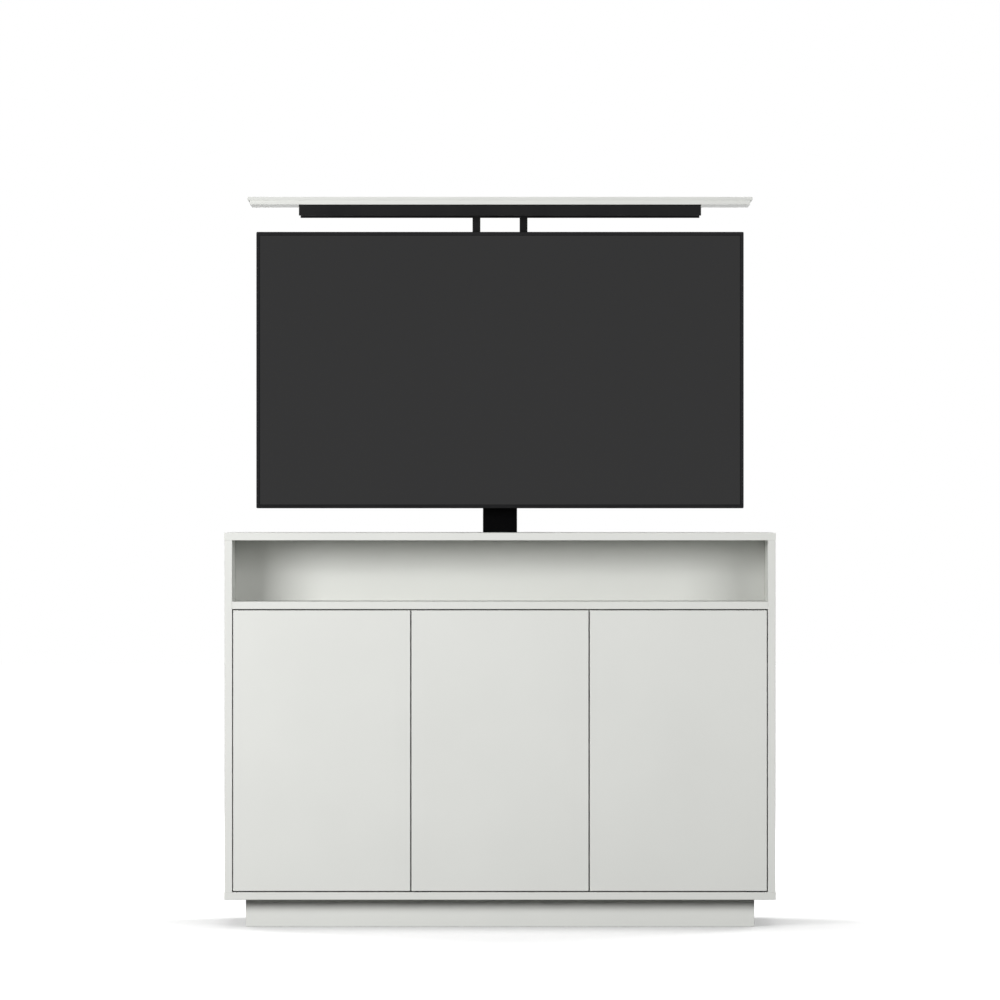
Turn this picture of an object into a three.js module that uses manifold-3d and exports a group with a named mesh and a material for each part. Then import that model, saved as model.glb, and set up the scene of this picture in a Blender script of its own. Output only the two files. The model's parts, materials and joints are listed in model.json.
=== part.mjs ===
// TV lift cabinet: a lacquered sideboard with an open niche over three flush doors, and a
// telescopic lift that raises a flat television and its lid through the top.
// Millimetres, +Z up, origin on the floor at the centre of the footprint, front towards -Y.
// The lift is drawn raised, the doors shut.

import * as THREE from "three";
import { mergeVertices } from "three/addons/utils/BufferGeometryUtils.js";
import Module from "manifold-3d";

// Carcass boards
const cabinetWide = 1380;
const cabinetDeep = 490;
const boardThick = 19;
const plinthHigh = 70;
const doorSpaceHigh = 708;
const nicheHigh = 153;
const partitionThick = 16;
const backThick = 16;
const sideInset = 1;
const arris = 0.8;
const plinthRecess = 52.5;
const plinthRearRecess = 20;
const dividerBehindDoor = 10;
const shelfBehindDoor = 26;
const shelfPlay = 0.5;
const innerShelfThick = 16;
const innerShelfRise = 340;
const fitGap = 0.3;
const overrun = 5;

// Back panel openings
const cablePortWide = 120;
const cablePortHigh = 60;
const cablePortCorner = 12;
const ventSlotLong = 110;
const ventSlotWide = 10;
const ventSlotPitch = 26;
const ventSlotCount = 6;
const ventGroupCentre = 360;
const ventDrop = 110;

// Doors and their pivot hinges
const doorNames = ["left", "middle", "right"];
const doorCount = doorNames.length;
const doorThick = 19;
const doorGap = 3;
const doorSideGap = 2.5;
const pivotInset = 15;
const pivotBehindFace = 8;
const pivotPinRadius = 3;
const pivotPinLong = 11;
const pivotPinChamfer = 0.8;
const pivotPlateSpan = 28;
const pivotPlateWide = 14;
const pivotPlateThick = 2;
const bushFlangeSpan = 22;
const bushFlangeWide = 12;
const bushFlangeThick = 2;
const bushBarrelRadius = 5;
const bushLong = 13;
const runningGap = 0.3;

// Push latches under the niche shelf
const latchWide = 14;
const latchHigh = 16;
const latchCorner = 2;
const latchAxisDrop = 9;
const latchLong = 58;
const latchEarWide = 26;
const latchEarLong = 22;
const latchEarThick = 2.5;
const latchFromDoorEdge = 29;
const latchBehindDoor = 4;
const plungerRadius = 4;
const plungerLong = 44;
const plungerNose = 1.5;

// Lift foot
const basePlateEndMargin = 10;
const basePlateSideMargin = 20;
const basePlateThick = 8;
const basePlateCorner = 10;
const bearingRadius = 22;
const bearingHigh = 10;
const bearingPocket = 8;
const boltHoleRadius = 4.5;
const boltHoleInset = 16;

// Telescopic column, three stages
const columnBehindHanger = 1;
const columnRearClear = 48;
const tubeWall = 3;
const tubeCorner = 6;
const outerTubeWide = 99;
const outerTubeDeep = 87;
const outerTubeExtra = 5;
const stageGap = 3;
const stageOverlap = 210;
const collarHigh = 6;
const collarPlay = 0.5;
const screwRadius = 10;
const screwBelowTube = 23;
const screwJournalRadius = 6;
const screwTipChamfer = 2;
const nutThick = 10;
const nutClearBelow = 3;
const nutBarrelRadius = 18;
const nutBarrelHigh = 20;
const stageOffset = 10;

// Motor and control box
const gearboxWide = 72;
const gearboxDeep = 64;
const gearboxHigh = 40;
const gearboxCorner = 5;
const motorRadius = 29;
const motorHigh = 100;
const motorStepHigh = 6;
const motorCapRadius = 22;
const motorCapHigh = 8;
const controlWide = 160;
const controlDeep = 90;
const controlHigh = 40;
const controlCorner = 6;
const controlFromMiddle = 340;
const controlFromBack = 22;
const socketRadius = 7;
const socketDeep = 9;
const socketPitch = 24;
const socketCount = 4;

// Head bracket on the top stage
const headPlateEndMargin = 14;
const headPlateRearMargin = 3;
const headPlateThick = 6;
const hangerWide = 90;
const hangerThick = 4;
const armPastRail = 25;
const armHigh = 60;
const armCorner = 8;
const hangerBelowArms = 12;
const hangerWindowWide = 40;
const hangerWindowHigh = 120;
const hangerWindowDrop = 70;
const hangerCorner = 3;
const armLip = 12;
const armLipClear = 6;

// Television
const tvAboveCabinet = 61;
const tvBehindPartition = 21;
const tvFloorClear = 110;
const tvFrameDeep = 14;
const tvBezel = 8.7;
const tvCorner = 3;
const screenRecess = 1.5;
const screenThick = 10;
const screenCorner = 1;
const backCoverMargin = 2;
const backCoverDeep = 16;
const backCoverSlope = 16;
const backCoverRim = 10;
const backCoverCorner = 6;
const shellWall = 2.5;
const humpWide = 900;
const humpHigh = 405;
const humpDeep = 25;
const humpSlope = 22;
const humpCorner = 24;
const humpFromBottom = 26;
const humpVentCount = 24;
const humpVentPitch = 22;
const humpVentLong = 40;
const humpVentWide = 7;
const humpVentDrop = 34;
const mountRise = 281;
const mountHalfSpan = 200;

// Uprights between the television and the head bracket
const railWide = 30;
const railDeep = 12;
const railThick = 2.5;
const railLong = 400;
const railSlotLong = 50;
const railSlotWide = 7;
const railSlotPitch = 75;
const railSlotCount = 5;

// Lid, its tray and posts
const lidSideBorder = 50;
const lidPastTv = 22;
const lidAboveTv = 41;
const lidRearClear = 9.5;
const lidEdge = 8;
const lidStep = 6;
const lidGap = 2.4;
const lidBehindPartition = 2.5;
const trayEndInset = 130.25;
const trayRearInset = 42;
const trayHigh = 28;
const trayWall = 2;
const trayBehindLidEdge = 9;
const postPlateBorder = 20;
const postPlateThick = 4;
const postPlateCorner = 4;
const postSide = 20;
const postWall = 2;
const postCorner = 1.5;
const postClear = 0.5;
const postBehindHanger = 16;

// Facets round a full turn, round a slot end and round a corner
const roundSides = 20;
const slotSteps = 4;
const cornerSteps = 4;

// The lid and the television that the carcass has room for
const lidWide = cabinetWide - 2 * lidSideBorder;
const tvWide = lidWide - 2 * lidPastTv;
const lidStackHigh = lidAboveTv + trayHigh;
const liftBayHigh = doorSpaceHigh + boardThick + nicheHigh;
const tvHigh = liftBayHigh - tvFloorClear - lidStackHigh;

// The depth of the lift bay, from the television to the column, and the travel of each stage
const tvStackDeep = tvFrameDeep + backCoverDeep + humpDeep + railDeep;
const columnSetback = tvBehindPartition + tvStackDeep + hangerThick + columnBehindHanger;
const liftBayDeep = columnSetback + outerTubeDeep + columnRearClear;
const lidDeep = liftBayDeep - lidBehindPartition - lidRearClear;
const stageTravel = (tvAboveCabinet + tvHigh + lidStackHigh + boardThick) / 2;

// Levels and planes of the carcass
const frontPlane = -cabinetDeep / 2;
const rearPlane = cabinetDeep / 2;
const bottomTop = plinthHigh + boardThick;
const topUnder = bottomTop + liftBayHigh;
const cabinetTop = topUnder + boardThick;
const shelfTop = topUnder - nicheHigh;
const shelfUnder = shelfTop - boardThick;
const outerHalf = cabinetWide / 2 - sideInset;
const innerHalf = outerHalf - boardThick;
const backFront = rearPlane - backThick;
const partitionRear = backFront - liftBayDeep;
const partitionFront = partitionRear - partitionThick;
const doorRear = frontPlane + doorThick;
const doorWide = (2 * innerHalf - 2 * doorSideGap - (doorCount - 1) * doorGap) / doorCount;
const doorPitch = doorWide + doorGap;
const lowerDoorEdge = bottomTop + doorGap;
const upperDoorEdge = shelfUnder - doorGap;

// The three stages of the column, each fitted inside the last, raised by the travel of each
const columnY = partitionRear + columnSetback + outerTubeDeep / 2;
const baseTop = bottomTop + basePlateThick;
const movingTubeLong = stageTravel + stageOverlap;
const outerTubeLong = movingTubeLong + outerTubeExtra;
const loweredMiddleFoot = baseTop + bearingHigh + nutClearBelow + nutThick;
const middleFoot = loweredMiddleFoot + stageTravel;
const innerFoot = middleFoot + stageOffset + stageTravel;
const middleTop = middleFoot + movingTubeLong;
const innerTop = innerFoot + movingTubeLong;
const headTop = innerTop + headPlateThick;
const screwLong = movingTubeLong - screwBelowTube;
const middleTubeWide = outerTubeWide - 2 * (tubeWall + stageGap);
const middleTubeDeep = outerTubeDeep - 2 * (tubeWall + stageGap);
const innerTubeWide = middleTubeWide - 2 * (tubeWall + stageGap);
const innerTubeDeep = middleTubeDeep - 2 * (tubeWall + stageGap);

// The raised lid and what hangs under it
const lidTop = cabinetTop + 2 * stageTravel;
const lidUnder = lidTop - boardThick;
const lidFront = partitionRear + lidBehindPartition;
const lidRear = lidFront + lidDeep;
const trayWide = lidWide - 2 * trayEndInset;
const trayDeep = lidDeep - trayBehindLidEdge - trayRearInset;
const trayFront = lidFront + trayBehindLidEdge;
const trayUnder = lidUnder - trayHigh;
const postPlateUnder = lidUnder - trayWall - postPlateThick;

// The raised television and its bracket, from front to rear
const tvFoot = cabinetTop + tvAboveCabinet;
const tvFront = partitionRear + tvBehindPartition;
const frameRear = tvFront + tvFrameDeep;
const coverRear = frameRear + backCoverDeep;
const humpRear = coverRear + humpDeep;
const railRear = humpRear + railDeep;
const hangerRear = railRear + hangerThick;
const mountLevel = tvFoot + mountRise;
const armReach = mountHalfSpan + armPastRail;
const armLipFromMiddle = outerTubeWide / 2 + armLipClear;
const postFromMiddle = (outerTubeWide + postSide) / 2 + postClear;
const headPlateWide = 2 * postFromMiddle + postSide + 2 * headPlateEndMargin;
const headPlateDeep = hangerThick + columnBehindHanger + outerTubeDeep + headPlateRearMargin;
const basePlateWide = outerTubeWide + 2 * (gearboxWide + basePlateEndMargin);
const basePlateDeep = outerTubeDeep + 2 * basePlateSideMargin;

const wasm = await Module();
wasm.setup();

const cabinet = new THREE.Group();

const lacquer = new THREE.MeshStandardMaterial({ color: 0xdddeda, roughness: 0.45, metalness: 0 });
const blackSteel = new THREE.MeshStandardMaterial({ color: 0x1c1c1c, roughness: 0.5, metalness: 0.4 });
const zincSteel = new THREE.MeshStandardMaterial({ color: 0xa9adb0, roughness: 0.35, metalness: 1 });
const blackPlastic = new THREE.MeshStandardMaterial({ color: 0x151515, roughness: 0.55, metalness: 0 });
const greyPlastic = new THREE.MeshStandardMaterial({ color: 0xc9cac6, roughness: 0.5, metalness: 0 });
const bronze = new THREE.MeshStandardMaterial({ color: 0xb08a4a, roughness: 0.4, metalness: 1 });
const darkFrame = new THREE.MeshStandardMaterial({ color: 0x222223, roughness: 0.4, metalness: 0.6 });
const panelGlass = new THREE.MeshStandardMaterial({ color: 0x343435, roughness: 0.3, metalness: 0 });

// Puts a named mesh in the cabinet
function place(name, geometry, material, x = 0, y = 0, z = 0) {
  const mesh = new THREE.Mesh(geometry, material);
  mesh.name = name;
  mesh.position.set(x, y, z);
  cabinet.add(mesh);
}

// The closed solid of a geometry
function solidOf(geometry) {
  const bare = geometry.clone();
  bare.deleteAttribute("normal");
  bare.deleteAttribute("uv");
  const merged = mergeVertices(bare, 1e-4);
  const triVerts = new Uint32Array(merged.index.array);
  const vertProperties = merged.attributes.position.array;
  return new wasm.Manifold(new wasm.Mesh({ numProp: 3, vertProperties, triVerts }));
}

// The geometry of a solid
function geometryOf(solid) {
  const mesh = solid.getMesh();
  const geometry = new THREE.BufferGeometry();
  geometry.setAttribute("position", new THREE.BufferAttribute(new Float32Array(mesh.vertProperties), 3));
  geometry.setIndex(new THREE.BufferAttribute(new Uint32Array(mesh.triVerts), 1));
  geometry.computeVertexNormals();
  return geometry;
}

function carve(geometry, ...cutters) {
  return geometryOf(cutters.reduce((solid, cutter) => solid.subtract(solidOf(cutter)), solidOf(geometry)));
}

function fuse(geometry, ...others) {
  return geometryOf(others.reduce((solid, other) => solid.add(solidOf(other)), solidOf(geometry)));
}

// A plain box between three pairs of planes
function block(x0, x1, y0, y1, z0, z1) {
  const geometry = new THREE.BoxGeometry(x1 - x0, y1 - y0, z1 - z0);
  return geometry.translate((x0 + x1) / 2, (y0 + y1) / 2, (z0 + z1) / 2);
}

// The points of a rounded rectangle round the origin, the same number for every size
function roundedPoints(wide, high, corner) {
  const points = [];
  for (let quarter = 0; quarter < 4; quarter += 1) {
    const x = (quarter === 0 || quarter === 3 ? 1 : -1) * (wide / 2 - corner);
    const y = (quarter < 2 ? 1 : -1) * (high / 2 - corner);
    for (let step = 0; step <= cornerSteps; step += 1) {
      const angle = ((quarter + step / cornerSteps) * Math.PI) / 2;
      points.push(new THREE.Vector2(x + corner * Math.cos(angle), y + corner * Math.sin(angle)));
    }
  }
  return points;
}

function roundedRectangle(wide, high, corner) {
  return new THREE.Shape(roundedPoints(wide, high, corner));
}

// A slot outline: a half circle at the origin and one at the end of the span along X
function slot(span, wide) {
  const shape = new THREE.Shape();
  shape.absarc(span, 0, wide / 2, -Math.PI / 2, Math.PI / 2);
  shape.absarc(0, 0, wide / 2, Math.PI / 2, 1.5 * Math.PI);
  return shape;
}

// A shape pushed up along Z from zero
function raise(shape, high) {
  return new THREE.ExtrudeGeometry(shape, { depth: high, bevelEnabled: false, curveSegments: slotSteps });
}

// A shape pushed up along Z from zero, the edges of both ends broken
function raiseEased(shape, high, ease) {
  const geometry = new THREE.ExtrudeGeometry(shape, {
    depth: high - 2 * ease,
    bevelThickness: ease,
    bevelSize: ease,
    bevelOffset: -ease,
    bevelSegments: 1,
    curveSegments: slotSteps,
  });
  return geometry.translate(0, 0, ease);
}

// Stands up what was raised along Z: it then grows forwards from the rear plane
function stand(geometry, rear, x = 0, level = 0) {
  return geometry.rotateX(Math.PI / 2).translate(x, rear, level);
}

// A board between three pairs of planes, with the edges of its two faces broken
function board(x0, x1, y0, y1, z0, z1) {
  const [wide, deep, high] = [x1 - x0, y1 - y0, z1 - z0];
  const thick = Math.min(wide, deep, high);
  let geometry;
  if (thick === high) {
    geometry = easedSheet(wide, deep, thick);
  } else if (thick === deep) {
    geometry = easedSheet(wide, high, thick).rotateX(Math.PI / 2);
  } else {
    geometry = easedSheet(high, deep, thick).rotateY(Math.PI / 2);
  }
  return geometry.translate((x0 + x1) / 2, (y0 + y1) / 2, (z0 + z1) / 2);
}

// A flat sheet round the origin, its two faces square to Z
function easedSheet(wide, deep, thick) {
  const outline = new THREE.Shape(squarePoints(wide, deep, 0));
  return raiseEased(outline, thick, arris).translate(0, 0, -thick / 2);
}

// The corners of a rectangle whose middle lies at a given Y
function squarePoints(wide, deep, middleY) {
  const [x, y] = [wide / 2, deep / 2];
  const corners = [[x, y], [-x, y], [-x, -y], [x, -y]];
  return corners.map(([cornerX, cornerY]) => new THREE.Vector2(cornerX, middleY + cornerY));
}

// A profile of radius and height pairs, from the foot of the axis to its head, turned about Z
function turn(profile) {
  const points = profile.map(([radius, height]) => new THREE.Vector2(radius, height));
  return new THREE.LatheGeometry(points, roundSides).rotateX(Math.PI / 2);
}

function rod(radius, long) {
  return turn([[0, 0], [radius, 0], [radius, long], [0, long]]);
}

// A skin over outlines of equal point count, each at its own level, closed by flat ends
function loft(sections) {
  const rings = sections.map(({ outline, level }) =>
    outline.map((point) => new THREE.Vector3(point.x, point.y, level)));
  const count = rings[0].length;
  const corners = [];
  for (let i = 1; i < count - 1; i += 1) {
    corners.push(rings[0][0], rings[0][i + 1], rings[0][i]);
    corners.push(rings.at(-1)[0], rings.at(-1)[i], rings.at(-1)[i + 1]);
  }
  for (let r = 1; r < rings.length; r += 1) {
    for (let i = 0; i < count; i += 1) {
      const next = (i + 1) % count;
      corners.push(rings[r - 1][i], rings[r - 1][next], rings[r][next]);
      corners.push(rings[r - 1][i], rings[r][next], rings[r][i]);
    }
  }
  const geometry = new THREE.BufferGeometry().setFromPoints(corners);
  geometry.computeVertexNormals();
  return geometry;
}

// Top, bottom and side panels, and the boards that part the cabinet inside
function makeCarcass() {
  const half = cabinetWide / 2;
  const top = board(-half, half, frontPlane, rearPlane, topUnder, cabinetTop);
  place("top_panel", carve(top, lidOpening()), lacquer);
  place("bottom_panel", board(-half, half, frontPlane, rearPlane, plinthHigh, bottomTop), lacquer);
  const left = board(-outerHalf, -innerHalf, frontPlane, rearPlane, bottomTop, topUnder);
  const right = board(innerHalf, outerHalf, frontPlane, rearPlane, bottomTop, topUnder);
  place("side_panel_left", left, lacquer);
  place("side_panel_right", right, lacquer);
  const shelf = board(-innerHalf, innerHalf, frontPlane, partitionFront, shelfUnder, shelfTop);
  place("niche_shelf", shelf, lacquer);
  const partition = board(-innerHalf, innerHalf, partitionFront, partitionRear, bottomTop, topUnder);
  place("compartment_partition", partition, lacquer);
  place("back_panel", makeBackPanel(), lacquer);
}

// Corners of the lid outline, grown all round by the gap, at its narrower foot and at its edge
function lidOutlines(grow) {
  const middle = (lidFront + lidRear) / 2;
  const [wide, deep] = [lidWide + 2 * grow, lidDeep + 2 * grow];
  return {
    foot: squarePoints(wide - 2 * lidStep, deep - 2 * lidStep, middle),
    edge: squarePoints(wide, deep, middle),
    crown: squarePoints(wide - 2 * arris, deep - 2 * arris, middle),
  };
}

// The hole in the top panel, with a ledge all round that the lid's wider edge drops towards
function lidOpening() {
  const { foot, edge } = lidOutlines(lidGap);
  const ledge = cabinetTop - lidEdge - lidGap;
  return loft([
    { outline: foot, level: topUnder - overrun },
    { outline: foot, level: ledge },
    { outline: edge, level: ledge },
    { outline: edge, level: cabinetTop + overrun },
  ]);
}

// The rear board, with two rows of air slots high up and a cable port in its lower edge
function makeBackPanel() {
  const panel = board(-innerHalf, innerHalf, backFront, rearPlane, bottomTop, topUnder);
  const through = backThick + 2 * overrun;
  const slotTop = topUnder - ventDrop;
  const span = ventSlotLong - ventSlotWide;
  const cutters = [];
  for (const side of [-1, 1]) {
    for (let i = 0; i < ventSlotCount; i += 1) {
      const x = side * ventGroupCentre + (i - (ventSlotCount - 1) / 2) * ventSlotPitch;
      const upright = raise(slot(span, ventSlotWide), through).rotateZ(-Math.PI / 2);
      cutters.push(stand(upright, rearPlane + overrun, x, slotTop));
    }
  }
  const portOutline = roundedRectangle(cablePortWide, 2 * cablePortHigh, cablePortCorner);
  cutters.push(stand(raise(portOutline, through), rearPlane + overrun, 0, bottomTop));
  return carve(panel, ...cutters);
}

// The recessed plinth: a front and a rear board between two side boards
function makePlinth() {
  const half = cabinetWide / 2 - plinthRecess;
  const front = frontPlane + plinthRecess;
  const rear = rearPlane - plinthRearRecess;
  place("plinth_front", board(-half, half, front, front + boardThick, 0, plinthHigh), lacquer);
  place("plinth_rear", board(-half, half, rear - boardThick, rear, 0, plinthHigh), lacquer);
  const [sideFront, sideRear] = [front + boardThick, rear - boardThick];
  const left = board(-half, boardThick - half, sideFront, sideRear, 0, plinthHigh);
  const right = board(half - boardThick, half, sideFront, sideRear, 0, plinthHigh);
  place("plinth_side_left", left, lacquer);
  place("plinth_side_right", right, lacquer);
}

// The left edge of a door, counted from the left
function doorLeft(index) {
  return -innerHalf + doorSideGap + index * doorPitch;
}

// The uprights behind the gaps between doors, and one loose shelf in each compartment
function makeCompartments() {
  const front = doorRear + dividerBehindDoor;
  const walls = [-innerHalf];
  for (let i = 1; i < doorCount; i += 1) {
    const middle = doorLeft(i) - doorGap / 2;
    const [x0, x1] = [middle - boardThick / 2, middle + boardThick / 2];
    const name = `divider_${i === 1 ? "left" : "right"}`;
    place(name, board(x0, x1, front, partitionFront, bottomTop, shelfUnder), lacquer);
    walls.push(x0, x1);
  }
  walls.push(innerHalf);
  const level = bottomTop + innerShelfRise;
  const [shelfFront, shelfRear] = [doorRear + shelfBehindDoor, partitionFront - shelfPlay];
  doorNames.forEach((name, i) => {
    const [x0, x1] = [walls[2 * i] + shelfPlay, walls[2 * i + 1] - shelfPlay];
    const shelf = board(x0, x1, shelfFront, shelfRear, level, level + innerShelfThick);
    place(`inner_shelf_${name}`, shelf, lacquer);
  });
}

// A flush door, with a pivot hinge at the top and the foot of its hinge edge and a push latch
// by its free edge
function makeDoor(name, index) {
  const inboard = name === "right" ? -1 : 1;
  const [x0, x1] = [doorLeft(index), doorLeft(index) + doorWide];
  const hingeEdge = inboard > 0 ? x0 : x1;
  const freeEdge = inboard > 0 ? x1 : x0;
  const pinX = hingeEdge + inboard * pivotInset;
  const pinY = frontPlane + pivotBehindFace;
  const panel = board(x0, x1, frontPlane, doorRear, lowerDoorEdge, upperDoorEdge);
  const ends = { upper: upperDoorEdge, lower: lowerDoorEdge };
  const pockets = [];
  for (const [end, level] of Object.entries(ends)) {
    const settle = (geometry) => {
      if (end === "lower") geometry.rotateX(Math.PI);
      if (inboard < 0) geometry.rotateZ(Math.PI);
      return geometry.translate(pinX, pinY, level);
    };
    pockets.push(settle(bushPocket()));
    place(`door_${name}_${end}_pivot`, settle(pivotPlate()), zincSteel);
    place(`door_${name}_${end}_bush`, settle(pivotBush()), greyPlastic);
  }
  place(`door_${name}`, carve(panel, ...pockets), lacquer);
  makeLatch(name, freeEdge - inboard * latchFromDoorEdge);
}

// The plate screwed to the carcass, its pin reaching down past the door edge at zero
function pivotPlate() {
  const plateFoot = doorGap - pivotPlateThick;
  const plate = raise(slot(pivotPlateSpan, pivotPlateWide), pivotPlateThick).translate(0, 0, plateFoot);
  const long = pivotPinLong + pivotPlateThick;
  const narrow = pivotPinRadius - pivotPinChamfer;
  const pin = turn([
    [0, 0],
    [narrow, 0],
    [pivotPinRadius, pivotPinChamfer],
    [pivotPinRadius, long],
    [0, long],
  ]);
  return fuse(plate, pin.translate(0, 0, plateFoot - pivotPinLong));
}

// The bush let into the door edge at zero, a flange on a barrel
function pivotBush() {
  const flange = raise(slot(bushFlangeSpan, bushFlangeWide), bushFlangeThick);
  flange.translate(0, 0, -bushFlangeThick);
  const barrel = rod(bushBarrelRadius, bushLong).translate(0, 0, -bushLong);
  const bore = rod(pivotPinRadius + runningGap, bushLong + 2 * overrun);
  bore.translate(0, 0, -bushLong - overrun);
  return carve(fuse(flange, barrel), bore);
}

// The pocket that the bush lies in
function bushPocket() {
  const flangeDeep = bushFlangeThick + fitGap;
  const flange = raise(slot(bushFlangeSpan, bushFlangeWide + 2 * fitGap), flangeDeep + overrun);
  const barrelDeep = bushLong + fitGap;
  const barrel = rod(bushBarrelRadius + fitGap, barrelDeep + overrun);
  return fuse(flange.translate(0, 0, -flangeDeep), barrel.translate(0, 0, -barrelDeep));
}

// A push latch screwed under the niche shelf, and its plunger against the back of the door
function makeLatch(name, x) {
  const front = doorRear + latchBehindDoor;
  const rear = front + latchLong;
  const axisLevel = shelfUnder - latchAxisDrop;
  const middle = shelfUnder - latchHigh / 2;
  const outline = roundedRectangle(latchWide, latchHigh, latchCorner);
  const housing = stand(raise(outline, latchLong), rear, x, middle);
  const earFront = rear - latchEarLong;
  const [earLeft, earRight] = [x - latchEarWide / 2, x + latchEarWide / 2];
  const ears = block(earLeft, earRight, earFront, rear, shelfUnder - latchEarThick, shelfUnder);
  const boreDeep = latchBehindDoor + plungerLong;
  const bore = stand(rod(plungerRadius + runningGap, boreDeep + overrun), front + boreDeep, x, axisLevel);
  place(`door_${name}_latch`, carve(fuse(housing, ears), bore), greyPlastic);
  const narrow = plungerRadius - plungerNose;
  const shoulder = plungerLong - plungerNose;
  const pin = turn([
    [0, 0],
    [plungerRadius, 0],
    [plungerRadius, shoulder],
    [narrow, plungerLong],
    [0, plungerLong],
  ]);
  const plunger = stand(pin, doorRear + fitGap + plungerLong, x, axisLevel);
  place(`door_${name}_latch_plunger`, plunger, blackPlastic);
}

// The foot plate with the thrust bearing of the screw, bolted to the bottom panel
function makeLiftFoot() {
  const plate = raise(roundedRectangle(basePlateWide, basePlateDeep, basePlateCorner), basePlateThick);
  const boss = rod(bearingRadius, basePlateThick + bearingHigh);
  const pocket = rod(screwJournalRadius + runningGap, bearingPocket + overrun);
  pocket.translate(0, 0, basePlateThick + bearingHigh - bearingPocket);
  const holes = [];
  for (const [sideX, sideY] of [[1, 1], [-1, 1], [-1, -1], [1, -1]]) {
    const x = sideX * (basePlateWide / 2 - boltHoleInset);
    const y = sideY * (basePlateDeep / 2 - boltHoleInset);
    holes.push(rod(boltHoleRadius, basePlateThick + 2 * overrun).translate(x, y, -overrun));
  }
  place("lift_base_plate", carve(fuse(plate, boss), pocket, ...holes), blackSteel, 0, columnY, bottomTop);
}

// One rectangular tube of the column, open at both ends
function tube(wide, deep, long) {
  const outline = roundedRectangle(wide, deep, tubeCorner);
  const bore = roundedPoints(wide - 2 * tubeWall, deep - 2 * tubeWall, tubeCorner - tubeWall);
  outline.holes.push(new THREE.Path(bore));
  return raise(outline, long);
}

// The glide ring that caps a stage and bears on the next one
function collar(wide, deep, innerWide, innerDeep) {
  const outline = roundedRectangle(wide, deep, tubeCorner);
  const [holeWide, holeDeep] = [innerWide + 2 * collarPlay, innerDeep + 2 * collarPlay];
  outline.holes.push(new THREE.Path(roundedPoints(holeWide, holeDeep, tubeCorner)));
  return raise(outline, collarHigh);
}

// Three telescopic stages, the two glide rings, the screw and its nut
function makeColumn() {
  const outer = tube(outerTubeWide, outerTubeDeep, outerTubeLong);
  place("lift_outer_column", outer, blackSteel, 0, columnY, baseTop);
  const outerTop = baseTop + outerTubeLong;
  const lowCollar = collar(outerTubeWide, outerTubeDeep, middleTubeWide, middleTubeDeep);
  place("lift_outer_collar", lowCollar, blackPlastic, 0, columnY, outerTop);
  const middle = tube(middleTubeWide, middleTubeDeep, movingTubeLong);
  place("lift_middle_column", middle, blackSteel, 0, columnY, middleFoot);
  const highCollar = collar(middleTubeWide, middleTubeDeep, innerTubeWide, innerTubeDeep);
  place("lift_middle_collar", highCollar, blackPlastic, 0, columnY, middleTop);
  const inner = tube(innerTubeWide, innerTubeDeep, movingTubeLong);
  place("lift_inner_column", inner, blackSteel, 0, columnY, innerFoot);
  place("lift_screw", makeScrew(), zincSteel, 0, columnY, baseTop + bearingHigh + fitGap);
  place("lift_nut", makeNut(), bronze, 0, columnY, middleFoot);
}

// The screw from its journal, which hangs below zero, to its tip
function makeScrew() {
  const journalFoot = -bearingPocket;
  const [tipRadius, tipFoot] = [screwRadius - screwTipChamfer, screwLong - screwTipChamfer];
  return turn([
    [0, journalFoot],
    [screwJournalRadius, journalFoot],
    [screwJournalRadius, 0],
    [screwRadius, 0],
    [screwRadius, tipFoot],
    [tipRadius, screwLong],
    [0, screwLong],
  ]);
}

// The nut flange closes the foot of the middle stage at zero, its barrel stands inside
function makeNut() {
  const flange = raise(roundedRectangle(middleTubeWide, middleTubeDeep, tubeCorner), nutThick);
  const barrel = rod(nutBarrelRadius, nutThick + nutBarrelHigh);
  const bore = rod(screwRadius + runningGap, nutThick + nutBarrelHigh + 2 * overrun);
  bore.translate(0, 0, -overrun);
  return carve(fuse(flange, barrel), bore).translate(0, 0, -nutThick);
}

// The gear motor beside the column, its can standing on the gearbox
function makeMotor() {
  const gearbox = raiseEased(roundedRectangle(gearboxWide, gearboxDeep, gearboxCorner), gearboxHigh, arris);
  const shoulder = motorHigh - motorStepHigh;
  const can = turn([
    [0, 0],
    [motorRadius, 0],
    [motorRadius, shoulder],
    [motorCapRadius, motorHigh],
    [motorCapRadius, motorHigh + motorCapHigh],
    [0, motorHigh + motorCapHigh],
  ]);
  can.translate(0, 0, gearboxHigh - arris);
  place("lift_motor", fuse(gearbox, can), blackSteel, (outerTubeWide + gearboxWide) / 2, columnY, baseTop);
}

// The control box on the bottom panel, a row of sockets in the end that faces the lift
function makeControlBox() {
  const housing = raiseEased(roundedRectangle(controlWide, controlDeep, controlCorner), controlHigh, arris);
  const sockets = [];
  for (let i = 0; i < socketCount; i += 1) {
    const y = (i - (socketCount - 1) / 2) * socketPitch;
    const socket = rod(socketRadius, socketDeep + overrun).rotateY(Math.PI / 2);
    sockets.push(socket.translate(controlWide / 2 - socketDeep, y, controlHigh / 2));
  }
  const y = backFront - controlFromBack - controlDeep / 2;
  place("lift_control_box", carve(housing, ...sockets), blackPlastic, -controlFromMiddle, y, bottomTop);
}

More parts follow.
